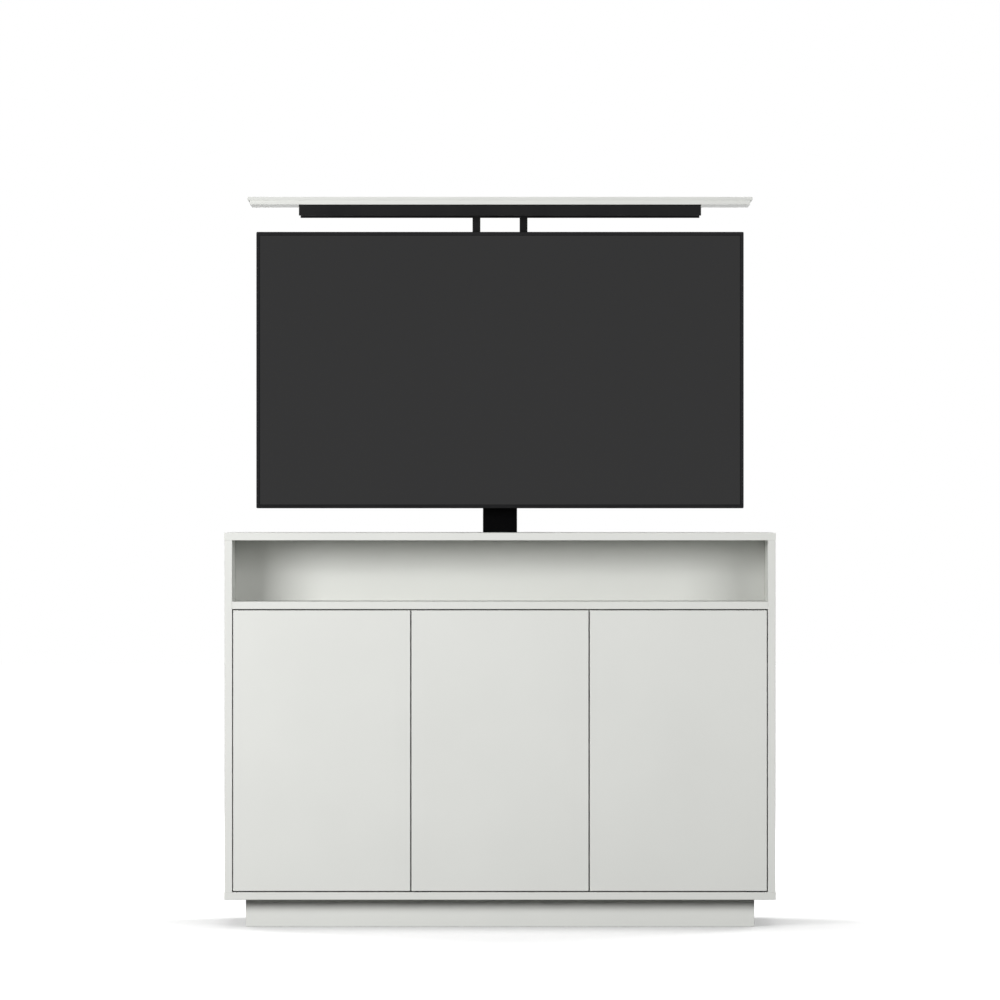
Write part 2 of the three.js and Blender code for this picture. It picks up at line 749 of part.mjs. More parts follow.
// The head of the top stage: a plate on the tube, a hanger down its front and two arms
function makeHeadBracket() {
  const plate = raise(roundedRectangle(headPlateWide, headPlateDeep, armCorner), headPlateThick);
  plate.translate(0, railRear + headPlateDeep / 2, innerTop);
  const hangerFoot = mountLevel - armHigh / 2 - hangerBelowArms;
  const hangerOutline = roundedRectangle(hangerWide, headTop - hangerFoot, hangerCorner);
  const hanger = stand(raise(hangerOutline, hangerThick), hangerRear, 0, (headTop + hangerFoot) / 2);
  const armOutline = roundedRectangle(2 * armReach, armHigh, armCorner);
  const arms = stand(raise(armOutline, hangerThick), hangerRear, 0, mountLevel);
  const lips = [];
  for (const side of [-1, 1]) {
    for (const edge of [-1, 1]) {
      const [x0, x1] = [side * armLipFromMiddle, side * (armReach - armCorner)].sort((a, b) => a - b);
      const [z0, z1] = [armHigh / 2 - hangerThick, armHigh / 2].map((rise) => mountLevel + edge * rise);
      lips.push(block(x0, x1, railRear, railRear + armLip, Math.min(z0, z1), Math.max(z0, z1)));
    }
  }
  const windowOutline = roundedRectangle(hangerWindowWide, hangerWindowHigh, armCorner);
  const windowRear = hangerRear + overrun;
  const windowLevel = innerTop - hangerWindowDrop - hangerWindowHigh / 2;
  const opening = stand(raise(windowOutline, hangerThick + 2 * overrun), windowRear, 0, windowLevel);
  place("lift_head_bracket", carve(fuse(plate, hanger, arms, ...lips), opening), blackSteel);
}

// A slotted channel up the back of the television, its web against the television
function makeRail(name, side) {
  const [half, inside] = [railWide / 2, railWide / 2 - railThick];
  const channel = new THREE.Shape();
  channel.moveTo(-half, 0).lineTo(half, 0).lineTo(half, railDeep).lineTo(inside, railDeep);
  channel.lineTo(inside, railThick).lineTo(-inside, railThick).lineTo(-inside, railDeep);
  channel.lineTo(-half, railDeep).closePath();
  const slots = [];
  for (let i = 0; i < railSlotCount; i += 1) {
    const level = railLong / 2 + (i - (railSlotCount - 1) / 2) * railSlotPitch;
    const span = railSlotLong - railSlotWide;
    const upright = raise(slot(span, railSlotWide), railThick + 2 * overrun).rotateZ(Math.PI / 2);
    slots.push(stand(upright, railThick + overrun, 0, level - span / 2));
  }
  const rail = carve(raise(channel, railLong), ...slots);
  place(`tv_rail_${name}`, rail, blackSteel, side * mountHalfSpan, humpRear, mountLevel - railLong / 2);
}

// A flat television: frame, screen, back cover and the deeper housing low on its back
function makeTelevision() {
  const middle = tvFoot + tvHigh / 2;
  const [openWide, openHigh] = [tvWide - 2 * tvBezel, tvHigh - 2 * tvBezel];
  const ring = roundedRectangle(tvWide, tvHigh, tvCorner);
  ring.holes.push(new THREE.Path(roundedPoints(openWide, openHigh, screenCorner)));
  place("tv_frame", stand(raiseEased(ring, tvFrameDeep, arris), frameRear, 0, middle), darkFrame);
  const screenOutline = roundedRectangle(openWide - 2 * fitGap, openHigh - 2 * fitGap, screenCorner);
  const screenRear = tvFront + screenRecess + screenThick;
  place("tv_screen", stand(raise(screenOutline, screenThick), screenRear, 0, middle), panelGlass);
  const [coverWide, coverHigh] = [tvWide - 2 * backCoverMargin, tvHigh - 2 * backCoverMargin];
  const cover = loft([
    shrunk(coverWide, coverHigh, backCoverSlope, backCoverCorner, 0),
    shrunk(coverWide, coverHigh, 0, backCoverCorner, backCoverDeep - backCoverRim),
    shrunk(coverWide, coverHigh, 0, backCoverCorner, backCoverDeep),
  ]);
  const inside = loft([
    shrunk(coverWide, coverHigh, backCoverSlope + shellWall, backCoverCorner, shellWall),
    shrunk(coverWide, coverHigh, shellWall, backCoverCorner, backCoverDeep - backCoverRim + shellWall),
    shrunk(coverWide, coverHigh, shellWall, backCoverCorner, backCoverDeep + overrun),
  ]);
  place("tv_back_cover", stand(carve(cover, inside), coverRear, 0, middle), blackPlastic);
  place("tv_electronics_cover", makeHump(), blackPlastic);
}

// A section of a standing loft, drawn in from a rectangle, at a distance from the rear
function shrunk(wide, high, inset, corner, level) {
  return { outline: roundedPoints(wide - 2 * inset, high - 2 * inset, corner), level };
}

// The electronics housing: a shell open to the front, with a row of air slots near its top
function makeHump() {
  const hump = loft([
    shrunk(humpWide, humpHigh, humpSlope, humpCorner, 0),
    shrunk(humpWide, humpHigh, 0, humpCorner, humpDeep),
  ]);
  const inside = loft([
    shrunk(humpWide, humpHigh, humpSlope + shellWall, humpCorner, shellWall),
    shrunk(humpWide, humpHigh, shellWall, humpCorner, humpDeep),
    shrunk(humpWide, humpHigh, shellWall, humpCorner, humpDeep + overrun),
  ]);
  const cutters = [inside];
  const span = humpVentLong - humpVentWide;
  for (let i = 0; i < humpVentCount; i += 1) {
    const x = (i - (humpVentCount - 1) / 2) * humpVentPitch;
    const upright = raise(slot(span, humpVentWide), shellWall + 2 * overrun).rotateZ(-Math.PI / 2);
    cutters.push(upright.translate(x, humpHigh / 2 - humpVentDrop, -overrun));
  }
  const level = tvFoot + humpFromBottom + humpHigh / 2;
  return stand(carve(hump, ...cutters), humpRear, 0, level);
}

// The lid with its rebated edge, the open steel tray it is screwed to, and two posts on a plate
function makeLid() {
  const { foot, edge, crown } = lidOutlines(0);
  const lid = loft([
    { outline: foot, level: lidUnder },
    { outline: foot, level: lidTop - lidEdge },
    { outline: edge, level: lidTop - lidEdge },
    { outline: edge, level: lidTop - arris },
    { outline: crown, level: lidTop },
  ]);
  place("lid_panel", lid, lacquer);
  const half = trayWide / 2;
  const trayRear = trayFront + trayDeep;
  const shell = block(-half, half, trayFront, trayRear, trayUnder, lidUnder);
  const hollow = block(
    -half - overrun, half + overrun, trayFront + trayWall, trayRear - trayWall,
    trayUnder - overrun, lidUnder - trayWall,
  );
  place("lid_tray", carve(shell, hollow), blackSteel);
  const postY = railRear + postBehindHanger;
  const plateWide = 2 * (postFromMiddle + postPlateBorder) + postSide;
  const plateOutline = roundedRectangle(plateWide, postSide + 2 * postPlateBorder, postPlateCorner);
  const plate = raise(plateOutline, postPlateThick);
  place("lid_tray_plate", plate, blackSteel, 0, postY, postPlateUnder);
  for (const [name, side] of [["left", -1], ["right", 1]]) {
    const outline = roundedRectangle(postSide, postSide, postCorner);
    const bore = postSide - 2 * postWall;
    outline.holes.push(new THREE.Path(squarePoints(bore, bore, 0)));
    const post = raise(outline, postPlateUnder - headTop);
    place(`lid_post_${name}`, post, blackSteel, side * postFromMiddle, postY, headTop);
  }
}

makeCarcass();
makePlinth();
makeCompartments();
doorNames.forEach(makeDoor);
makeLiftFoot();
makeColumn();
makeMotor();
makeControlBox();
makeHeadBracket();
makeRail("left", -1);
makeRail("right", 1);
makeTelevision();
makeLid();

export default cabinet;
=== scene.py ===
import json
import math
import bpy
from mathutils import Matrix, Vector


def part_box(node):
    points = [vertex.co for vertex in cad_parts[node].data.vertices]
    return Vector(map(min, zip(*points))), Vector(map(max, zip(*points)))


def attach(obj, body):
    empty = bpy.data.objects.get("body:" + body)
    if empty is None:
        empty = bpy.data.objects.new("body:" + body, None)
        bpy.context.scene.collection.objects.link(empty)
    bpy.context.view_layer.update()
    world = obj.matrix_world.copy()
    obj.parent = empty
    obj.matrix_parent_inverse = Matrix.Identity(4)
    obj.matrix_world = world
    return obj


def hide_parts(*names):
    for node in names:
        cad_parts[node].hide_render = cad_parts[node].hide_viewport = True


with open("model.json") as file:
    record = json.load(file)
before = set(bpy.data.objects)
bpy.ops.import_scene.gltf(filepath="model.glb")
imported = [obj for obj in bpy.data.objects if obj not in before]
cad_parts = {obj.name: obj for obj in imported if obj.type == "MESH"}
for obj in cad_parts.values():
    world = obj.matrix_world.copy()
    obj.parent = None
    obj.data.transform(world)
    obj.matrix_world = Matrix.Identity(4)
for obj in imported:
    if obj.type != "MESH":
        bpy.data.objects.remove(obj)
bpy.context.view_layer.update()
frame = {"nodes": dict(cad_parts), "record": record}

nodes = frame["nodes"]
mm = 0.001  # sizes are given in millimetres and turned to metres with this
hair = 1e-6  # two places closer than this, in metres, count as one
overshoot = 5 * mm  # how far a cutter reaches past what it cuts
alongX, alongY, alongZ = 0, 1, 2
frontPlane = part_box("top_panel")[0].y


# Camera: level, a little above the top of the cabinet, and so far off that uprights stay parallel
cameraPlan = {"distance": 19.0, "height": 1.07, "lens": 273.5, "sensor": 36, "seesTo": 200}

cameraData = bpy.data.cameras.new("photoCamera")
cameraData.lens = cameraPlan["lens"]
cameraData.sensor_width = cameraPlan["sensor"]
cameraData.clip_end = cameraPlan["seesTo"]
camera = bpy.data.objects.new("photoCamera", cameraData)
bpy.context.scene.collection.objects.link(camera)
camera.location = (0, frontPlane - cameraPlan["distance"], cameraPlan["height"])
camera.rotation_euler = (math.radians(90), 0, 0)
bpy.context.scene.camera = camera
bpy.context.scene.view_settings.view_transform = "Standard"
print("stage: camera")


# Materials. Their colours are given as sRGB hex and pass through the sRGB curve.
def toLinear(hexColour):
    parts = [int(hexColour[i:i + 2], 16) / 255 for i in (1, 3, 5)]
    return tuple(p / 12.92 if p <= 0.04045 else ((p + 0.055) / 1.055) ** 2.4 for p in parts) + (1.0,)


def addNode(tree, kind, settings=None, links=None):
    node = tree.nodes.new(kind)
    for name, value in (settings or {}).items():
        if hasattr(node, name):
            setattr(node, name, value)
        else:
            node.inputs[name].default_value = value
    for name, source in (links or {}).items():
        tree.links.new(source, node.inputs[name])
    return node


def newMaterial(name, sockets):
    material = bpy.data.materials.new(name)
    material.use_nodes = True
    tree = material.node_tree
    shader = tree.nodes["Principled BSDF"]
    for socket, value in sockets.items():
        shader.inputs[socket].default_value = value
    where = addNode(tree, "ShaderNodeTexCoord").outputs["Object"]
    return material, tree, shader, where


# Colour that wanders between two tones with a noise of the given size. The noise stays near its middle,
# so the tones stand close to it.
def blendTones(tree, shader, where, size, first, second):
    cloud = addNode(tree, "ShaderNodeTexNoise", {"Scale": 1 / (size * mm), "Detail": 3.0}, {"Vector": where})
    ramp = addNode(tree, "ShaderNodeValToRGB", links={"Fac": cloud.outputs["Fac"]})
    for stop, position, tone in zip(ramp.color_ramp.elements, (0.35, 0.65), (first, second)):
        stop.position = position
        stop.color = toLinear(tone)
    tree.links.new(ramp.outputs["Color"], shader.inputs["Base Color"])
    return cloud.outputs["Fac"]


def varyRoughness(tree, shader, amount, low, high):
    span = addNode(tree, "ShaderNodeMapRange", {"To Min": low, "To Max": high}, {"Value": amount})
    tree.links.new(span.outputs["Result"], shader.inputs["Roughness"])


# A raised texture, given by its height in millimetres and the strength with which it shows
def addRelief(tree, shader, heightSource, height, strength):
    bump = addNode(tree, "ShaderNodeBump", {"Strength": strength, "Distance": height * mm},
                   {"Height": heightSource})
    tree.links.new(bump.outputs["Normal"], shader.inputs["Normal"])


# White satin lacquer sprayed on board: a soft sheen and a faint orange peel
def makeLacquer():
    plan = {"tone": "#dddeda", "otherTone": "#dbdcd8", "cloud": 260, "peel": 2.6, "relief": (0.012, 1.0),
            "sheen": (0.40, 0.50)}
    material, tree, shader, where = newMaterial("sprayedSatinLacquer", {"Specular IOR Level": 0.3})
    amount = blendTones(tree, shader, where, plan["cloud"], plan["tone"], plan["otherTone"])
    varyRoughness(tree, shader, amount, *plan["sheen"])
    peel = addNode(tree, "ShaderNodeTexNoise", {"Scale": 1 / (plan["peel"] * mm), "Detail": 1.0},
                   {"Vector": where})
    addRelief(tree, shader, peel.outputs["Fac"], *plan["relief"])
    return material


# White melamine paper pressed on chipboard, for the boards inside: duller than the lacquer, with a shallow
# pearl grain about 1.8 mm wide. It is a little darker than the lacquer as painted shade for the niche and
# bays.
def makeMelamineWithPaintedShade():
    plan = {"tone": "#cfd0cc", "otherTone": "#cccdc9", "cloud": 320, "pearl": 1.8, "relief": (0.02, 0.5),
            "sheen": (0.50, 0.58)}
    material, tree, shader, where = newMaterial("whiteMelamineBoardPaintedShade", {"Specular IOR Level": 0.25})
    amount = blendTones(tree, shader, where, plan["cloud"], plan["tone"], plan["otherTone"])
    varyRoughness(tree, shader, amount, *plan["sheen"])
    pearl = addNode(tree, "ShaderNodeTexVoronoi",
                    {"feature": "SMOOTH_F1", "Scale": 1 / (plan["pearl"] * mm)}, {"Vector": where})
    addRelief(tree, shader, pearl.outputs["Distance"], *plan["relief"])
    return material


# Black powder coat baked on steel: a fine pebbled skin that scatters its highlights.
# The real pebbles are about 0.4 mm wide and are drawn 1.1 mm wide so that they show.
def makePowderCoat():
    plan = {"tone": "#1f1f1f", "otherTone": "#1b1b1c", "cloud": 120, "pebble": 1.1, "relief": (0.05, 0.6),
            "sheen": (0.50, 0.62)}
    material, tree, shader, where = newMaterial("blackPowderCoat", {"Specular IOR Level": 0.1})
    amount = blendTones(tree, shader, where, plan["cloud"], plan["tone"], plan["otherTone"])
    varyRoughness(tree, shader, amount, *plan["sheen"])
    pebbles = addNode(tree, "ShaderNodeTexVoronoi",
                      {"feature": "SMOOTH_F1", "Scale": 1 / (plan["pebble"] * mm)}, {"Vector": where})
    addRelief(tree, shader, pebbles.outputs["Distance"], *plan["relief"])
    return material


# Black dip paint on the column's tubes: thin and even. Its near-black tone and faint reflection are partly
# painted shade, standing in for the shade under the television.
def makeDipPaintWithPaintedShade():
    plan = {"tone": "#070707", "otherTone": "#050506", "cloud": 150, "speck": 1.5, "relief": (0.02, 0.5),
            "sheen": (0.50, 0.60)}
    material, tree, shader, where = newMaterial("blackDipPaintPaintedShade", {"Specular IOR Level": 0.03})
    amount = blendTones(tree, shader, where, plan["cloud"], plan["tone"], plan["otherTone"])
    varyRoughness(tree, shader, amount, *plan["sheen"])
    specks = addNode(tree, "ShaderNodeTexNoise", {"Scale": 1 / (plan["speck"] * mm), "Detail": 2.0},
                     {"Vector": where})
    addRelief(tree, shader, specks.outputs["Fac"], *plan["relief"])
    return material


# Moulded ABS with a spark-eroded grain, black for covers and latches and grey for the doors' bushes:
# dull, finely sandy
def makeMouldedPlastic(name, tone, otherTone, specular):
    plan = {"cloud": 90, "grain": 0.9, "relief": (0.03, 0.7), "sheen": (0.52, 0.62)}
    material, tree, shader, where = newMaterial(name, {"IOR": 1.53, "Specular IOR Level": specular})
    amount = blendTones(tree, shader, where, plan["cloud"], tone, otherTone)
    varyRoughness(tree, shader, amount, *plan["sheen"])
    grain = addNode(tree, "ShaderNodeTexNoise", {"Scale": 1 / (plan["grain"] * mm), "Detail": 3.0},
                    {"Vector": where})
    addRelief(tree, shader, grain.outputs["Fac"], *plan["relief"])
    return material


# Black anodised aluminium, brushed along its length: long fine scratches that stretch the highlights
def makeAnodised():
    plan = {"tone": "#2a2a2b", "otherTone": "#252526", "cloud": 3.2, "scratch": 0.8, "stretch": 60,
            "relief": (0.01, 0.5), "sheen": (0.38, 0.50)}
    material, tree, shader, where = newMaterial("blackAnodisedAluminium", {"Metallic": 1.0})
    along = addNode(tree, "ShaderNodeMapping", {"Scale": (1 / plan["stretch"], 1.0, 1.0)}, {"Vector": where})
    drawn = along.outputs["Vector"]
    amount = blendTones(tree, shader, drawn, plan["cloud"], plan["tone"], plan["otherTone"])
    varyRoughness(tree, shader, amount, *plan["sheen"])
    scratches = addNode(tree, "ShaderNodeTexNoise", {"Scale": 1 / (plan["scratch"] * mm), "Detail": 2.0},
                        {"Vector": drawn})
    addRelief(tree, shader, scratches.outputs["Fac"], *plan["relief"])
    return material


# Display glass under an anti-glare film: black when off, and grey from the room, which the film's fine
# frost blurs. The film reflects a little less than bare glass.
def makeDisplayFilm():
    plan = {"tone": "#050506", "otherTone": "#060607", "cloud": 400, "frost": 0.7, "relief": (0.001, 0.5),
            "sheen": (0.14, 0.18)}
    material, tree, shader, where = newMaterial("antiGlareDisplay", {"IOR": 1.5, "Specular IOR Level": 0.44})
    amount = blendTones(tree, shader, where, plan["cloud"], plan["tone"], plan["otherTone"])
    varyRoughness(tree, shader, amount, *plan["sheen"])
    frost = addNode(tree, "ShaderNodeTexNoise", {"Scale": 1 / (plan["frost"] * mm)}, {"Vector": where})
    addRelief(tree, shader, frost.outputs["Fac"], *plan["relief"])
    return material


# Zinc plate on steel, bright or passivated black: a cool metal with cloudy patches from the bath
def makeZincPlate(name, tone, otherTone):
    plan = {"cloud": 9, "ripple": 0.8, "relief": (0.01, 0.4), "sheen": (0.28, 0.42)}
    material, tree, shader, where = newMaterial(name, {"Metallic": 1.0})
    amount = blendTones(tree, shader, where, plan["cloud"], tone, otherTone)
    varyRoughness(tree, shader, amount, *plan["sheen"])
    ripple = addNode(tree, "ShaderNodeTexNoise", {"Scale": 1 / (plan["ripple"] * mm)}, {"Vector": where})
    addRelief(tree, shader, ripple.outputs["Fac"], *plan["relief"])
    return material


# Turned bearing bronze: warm metal with fine rings from the lathe, square to the screw
def makeBronze():
    plan = {"tone": "#b98f52", "otherTone": "#a67e45", "ring": 1.8, "flatten": 0.02, "relief": (0.02, 0.5),
            "sheen": (0.30, 0.42)}
    material, tree, shader, where = newMaterial("turnedBronze", {"Metallic": 1.0})
    flat = addNode(tree, "ShaderNodeMapping", {"Scale": (plan["flatten"], plan["flatten"], 1.0)},
                   {"Vector": where})
    amount = blendTones(tree, shader, flat.outputs["Vector"], plan["ring"], plan["tone"], plan["otherTone"])
    varyRoughness(tree, shader, amount, *plan["sheen"])
    addRelief(tree, shader, amount, *plan["relief"])
    return material


lacquer = makeLacquer()
melamineWithPaintedShade = makeMelamineWithPaintedShade()
powderCoat = makePowderCoat()
dipPaintWithPaintedShade = makeDipPaintWithPaintedShade()
blackPlastic = makeMouldedPlastic("blackMouldedPlastic", "#1c1c1c", "#181818", 0.16)
greyPlastic = makeMouldedPlastic("greyMouldedPlastic", "#c4c5c1", "#bcbdb9", 0.4)
anodised = makeAnodised()
displayFilm = makeDisplayFilm()
zincPlate = makeZincPlate("zincPlatedSteel", "#b9bcbf", "#a5a8ab")
blackZinc = makeZincPlate("blackZincPlatedSteel", "#2b2b2d", "#242426")
bronze = makeBronze()
slotMaterials = {
    "lacquered_board": lacquer, "black_steel": powderCoat, "zinc_steel": zincPlate,
    "grey_plastic": greyPlastic, "black_plastic": blackPlastic, "bronze": bronze,
    "dark_aluminium": anodised, "screen_film": displayFilm,
}
innerBoards = ("compartment_partition", "divider_left", "divider_right", "inner_shelf_left",
               "inner_shelf_middle", "inner_shelf_right", "back_panel")
slotOfNode = {part["node"]: part["material_slot"] for part in frame["record"]["subparts"]}
for nodeName, node in nodes.items():
    finish = slotMaterials[slotOfNode[nodeName]]
    # The inner boards take the darker melamine, whose lower tone is painted shade
    if nodeName in innerBoards:
        finish = melamineWithPaintedShade
    if nodeName.endswith("_pivot"):
        finish = blackZinc  # the gaps over and under the doors show no bright metal
    node.data.materials.clear()
    node.data.materials.append(finish)
print("stage: materials")


# Modelling: everything is deselected first, because an operator acts on all that is selected
def deselectAll():
    bpy.ops.object.select_all(action="DESELECT")


def selectOnly(piece):
    deselectAll()
    bpy.context.view_layer.objects.active = piece
    piece.select_set(True)


def addBlock(name, low, high):
    deselectAll()
    low, high = Vector(low), Vector(high)
    bpy.ops.mesh.primitive_cube_add(size=1, location=(low + high) / 2)
    piece = bpy.context.object
    piece.name = name
    piece.scale = high - low
    bpy.ops.object.transform_apply(location=True, rotation=True, scale=True)
    return piece


def addRod(name, radius, low, high, sides):
    deselectAll()
    low, high = Vector(low), Vector(high)
    turned = (high - low).to_track_quat("Z", "Y").to_euler()
    bpy.ops.mesh.primitive_cylinder_add(vertices=sides, radius=radius, depth=(high - low).length,
                                        location=(low + high) / 2, rotation=turned)
    piece = bpy.context.object
    piece.name = name
    bpy.ops.object.transform_apply(location=True, rotation=True, scale=True)
    return piece


# Sets what edit mode selects, and leaves nothing selected in the piece
def startPicking(piece, kind):
    selectOnly(piece)
    bpy.ops.object.mode_set(mode="EDIT")
    bpy.ops.mesh.select_mode(type=kind)
    bpy.ops.mesh.select_all(action="DESELECT")
    bpy.ops.object.mode_set(mode="OBJECT")


# Opens the piece in edit mode with the faces selected that pass the test
def pickFaces(piece, test):
    startPicking(piece, "FACE")
    for face in piece.data.polygons:
        face.select = test(face.center, face.normal)
    bpy.ops.object.mode_set(mode="EDIT")


# The same for edges, of which only true corners count: the test gets the edge's two ends
def pickEdges(piece, test, cornerFrom=25):
    startPicking(piece, "EDGE")
    ends = piece.data.vertices
    normals = {}
    for face in piece.data.polygons:
        for key in face.edge_keys:
            normals.setdefault(key, []).append(face.normal.copy())
    for edge in piece.data.edges:
        around = normals[edge.key]
        corner = len(around) == 2 and around[0].angle(around[1], 0) > math.radians(cornerFrom)
        edge.select = corner and test(ends[edge.vertices[0]].co, ends[edge.vertices[1]].co)
    bpy.ops.object.mode_set(mode="EDIT")


def leaveEdit():
    bpy.ops.object.mode_set(mode="OBJECT")


def roundPicked(width, segments):
    bpy.ops.mesh.bevel(offset=width, offset_type="OFFSET", segments=segments, affect="EDGES")
    leaveEdit()


def roundTop(piece, level, width, segments):
    pickEdges(piece, lambda a, b: min(a.z, b.z) > level - hair)
    roundPicked(width, segments)


# A test that holds for an edge along the given axis
def runsAlong(axis, share=0.999):
    def test(a, b):
        along = b - a
        return abs(along[axis]) > share * along.length
    return test


# A test that holds for a face turned to the rear
def facesBack(middle, normal, share=0.9):
    return normal.y > share


def applyModifier(piece, kind, **settings):
    selectOnly(piece)
    modifier = piece.modifiers.new(kind.lower(), kind)
    for name, value in settings.items():
        setattr(modifier, name, value)
    bpy.ops.object.modifier_apply(modifier=modifier.name)


def cutAway(piece, cutters):
    for cutter in cutters:
        applyModifier(piece, "BOOLEAN", operation="DIFFERENCE", solver="EXACT", object=cutter)
        bpy.data.objects.remove(cutter)


def joinPieces(pieces):
    deselectAll()
    for piece in pieces:
        piece.select_set(True)
    bpy.context.view_layer.objects.active = pieces[0]
    bpy.ops.object.join()
    return pieces[0]


# A copy with a mesh of its own, moved or turned by the matrix
def copyPiece(piece, name, matrix):
    copy = piece.copy()
    copy.data = piece.data.copy()
    copy.name = name
    copy.data.transform(matrix)
    bpy.context.scene.collection.objects.link(copy)
    return copy


# Smooths the roundings and keeps the flats beside them flat, then gives the piece its finish and body
def finishPiece(piece, body, slot, material=None, smoothAngle=32):
    selectOnly(piece)
    bpy.ops.object.shade_smooth_by_angle(angle=math.radians(smoothAngle))
    applyModifier(piece, "WEIGHTED_NORMAL", keep_sharp=True, weight=100)
    piece.data.materials.clear()
    piece.data.materials.append(material or slotMaterials[slot])
    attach(piece, body)


# Folded and cut steel has no knife edges: a live bevel on carried-over nodes
softenPlan = {"widths": {"lift_head_bracket": 0.6, "tv_rail_left": 0.4, "tv_rail_right": 0.4},
              "weld": 0.01, "segments": 2, "sharpFrom": 40}
for nodeName, width in softenPlan["widths"].items():
    weld = nodes[nodeName].modifiers.new("weld", "WELD")
    weld.merge_threshold = softenPlan["weld"] * mm
    soften = nodes[nodeName].modifiers.new("soften", "BEVEL")
    soften.width = width * mm
    soften.segments = softenPlan["segments"]
    soften.limit_method = "ANGLE"
    soften.angle_limit = math.radians(softenPlan["sharpFrom"])


# A block with its four edges along one axis rounded
def addBar(name, low, high, axis, corner, segments=8):
    bar = addBlock(name, low, high)
    pickEdges(bar, runsAlong(axis))
    roundPicked(corner * mm, segments)
    return bar


# A bar with a hole right through it, which leaves the wall all round
def addHollowBar(name, low, high, axis, corner, wall, innerCorner=0.8):
    bar = addBar(name, low, high, axis, corner)
    margin = Vector((wall * mm,) * 3)
    margin[axis] = -overshoot
    core = addBar("core", low + margin, high - margin, axis, max(corner - wall, innerCorner))
    cutAway(bar, [core])
    return bar


# Column: three rectangular tubes with rolled corners, the glide collars in them, and the lid's two posts,
# each standing where its node stands
def makeTube(nodeName, body, slot, plan, material=None):
    low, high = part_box(nodeName)
    tube = addHollowBar(f"{nodeName}_tube", low, high, alongZ, plan["corner"], plan["wall"])
    pickEdges(tube, lambda a, b: abs(a.z - b.z) < hair and min(abs(a.z - low.z), abs(a.z - high.z)) < hair)
    roundPicked(plan["rim"] * mm, segments=2)
    finishPiece(tube, body, slot, material)
    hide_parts(nodeName)


tubePlan = {"corner": 6, "wall": 3, "rim": 0.5}
# The tubes take the dip paint, whose near-black tone is partly painted shade under the television
makeTube("lift_outer_column", "cabinet", "black_steel", tubePlan, dipPaintWithPaintedShade)
makeTube("lift_middle_column", "middle_stage", "black_steel", tubePlan, dipPaintWithPaintedShade)
makeTube("lift_inner_column", "carriage", "black_steel", tubePlan, dipPaintWithPaintedShade)

collarPlan = {"corner": 6, "wall": 5.4, "rim": 1.2}
makeTube("lift_outer_collar", "cabinet", "black_plastic", collarPlan)
makeTube("lift_middle_collar", "middle_stage", "black_plastic", collarPlan)

postPlan = {"corner": 1.5, "wall": 2, "rim": 0.4}
makeTube("lid_post_left", "carriage", "black_steel", postPlan)
makeTube("lid_post_right", "carriage", "black_steel", postPlan)
print("stage: column and posts")


# Lid tray: a folded steel channel, open below and at its ends, its two bends rolled, and the plate
# under its web that carries the posts
trayPlan = {"wall": 2, "bend": 2.4, "edge": 0.4, "plateCorner": 4, "plateEdge": 0.6}

low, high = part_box("lid_tray")
tray = addBlock("lid_tray_channel", low, high)
pickEdges(tray, lambda a, b: runsAlong(alongX)(a, b) and min(a.z, b.z) > high.z - hair)
roundPicked(trayPlan["bend"] * mm, segments=5)
wall = trayPlan["wall"] * mm
hollow = addBlock("hollow", (low.x - overshoot, low.y + wall, low.z - overshoot),
                  (high.x + overshoot, high.y - wall, high.z - wall))
cutAway(tray, [hollow])
pickEdges(tray, lambda a, b: min(a.z, b.z) < low.z + hair
          and (abs(a.z - b.z) < hair or runsAlong(alongZ)(a, b)))
roundPicked(trayPlan["edge"] * mm, segments=2)
finishPiece(tray, "carriage", "black_steel")
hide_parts("lid_tray")

low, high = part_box("lid_tray_plate")
trayPlate = addBar("lid_post_plate", low, high, alongZ, trayPlan["plateCorner"], segments=6)
pickEdges(trayPlate, lambda a, b: abs(a.z - b.z) < hair)
roundPicked(trayPlan["plateEdge"] * mm, segments=2)
finishPiece(trayPlate, "carriage", "black_steel")
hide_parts("lid_tray_plate")
print("stage: tray")


# Television frame: a bar round the screen, its front and rear edges rounded over, and the screen in it,
# a slab whose front edge is ground to a small chamfer
framePlan = {"bezel": 8.7, "corner": 3, "edge": 1.0, "screenEdge": 0.4}

low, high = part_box("tv_frame")
screenFrame = addHollowBar("tv_frame_bars", low, high, alongY, framePlan["corner"], framePlan["bezel"])
pickEdges(screenFrame, lambda a, b: abs(a.y - b.y) < hair)
roundPicked(framePlan["edge"] * mm, segments=3)
finishPiece(screenFrame, "carriage", "dark_aluminium")
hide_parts("tv_frame")

low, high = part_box("tv_screen")
screen = addBlock("tv_screen_glass", low, high)
pickEdges(screen, lambda a, b: max(a.y, b.y) < low.y + hair)
roundPicked(framePlan["screenEdge"] * mm, segments=2)
finishPiece(screen, "carriage", "screen_film")
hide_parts("tv_screen")
print("stage: screen")


# Back cover: a shallow moulded dish with sloping rear edges and rounded corners and rims
backPlan = {"corner": 6, "slope": 16, "slopeDeep": 6, "edge": 1.5}

low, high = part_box("tv_back_cover")
backCover = addBlock("tv_back_shell", low, (high.x, high.y - backPlan["slopeDeep"] * mm, high.z))
pickFaces(backCover, facesBack)
bpy.ops.mesh.inset(thickness=backPlan["slope"] * mm, depth=backPlan["slopeDeep"] * mm)
leaveEdit()
pickEdges(backCover, lambda a, b: abs(a.y - b.y) > hair)
roundPicked(backPlan["corner"] * mm, segments=8)
pickEdges(backCover, lambda a, b: abs(a.y - b.y) < hair and a.y > low.y + hair)
roundPicked(backPlan["edge"] * mm, segments=3)
finishPiece(backCover, "carriage", "black_plastic")
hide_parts("tv_back_cover")

# Electronics cover: a deeper moulded housing with sloping sides over a low straight foot, and a row of
# air slots whose ends are rounded to almost half their width
housingPlan = {"foot": 1, "corner": 24, "slope": 22, "edge": 3, "slotWide": 7, "slotLong": 40,
               "slotPitch": 22, "slotCount": 24, "slotDrop": 34, "slotDeep": 3, "slotPast": 2,
               "slotRound": 0.98}

